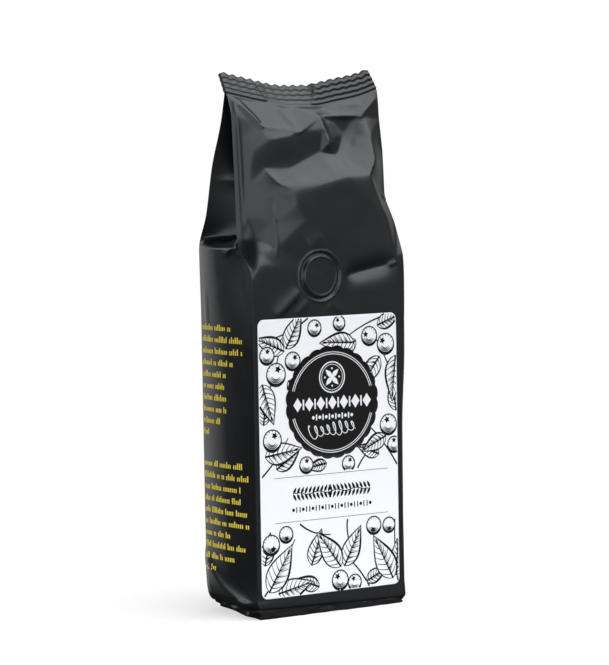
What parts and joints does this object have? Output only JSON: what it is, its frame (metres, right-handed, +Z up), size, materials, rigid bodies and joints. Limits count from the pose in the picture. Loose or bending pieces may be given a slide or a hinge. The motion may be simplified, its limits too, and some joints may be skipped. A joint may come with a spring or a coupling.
{
  "type": "coffee bag",
  "caption": "Shut side-gusset coffee bag of dark film, standing upright, with a crimped top fin, a pressed-in valve ring and a rounded paper label on the front.",
  "frame": {"origin": "on the floor under the middle of the bag's box", "axes": "+Z up the bag to its fin, -Y out of the labelled front, -X out of the printed side that the picture shows on the left"},
  "size_m": [0.0876, 0.0474, 0.2417],
  "materials": {
    "film": "black metallised film with a satin coating, soft creases and a few sharp folds",
    "label": null
  },
  "bodies": {
    "root": {"bag": "film", "front_label": "label"}
  },
  "joints": []
}
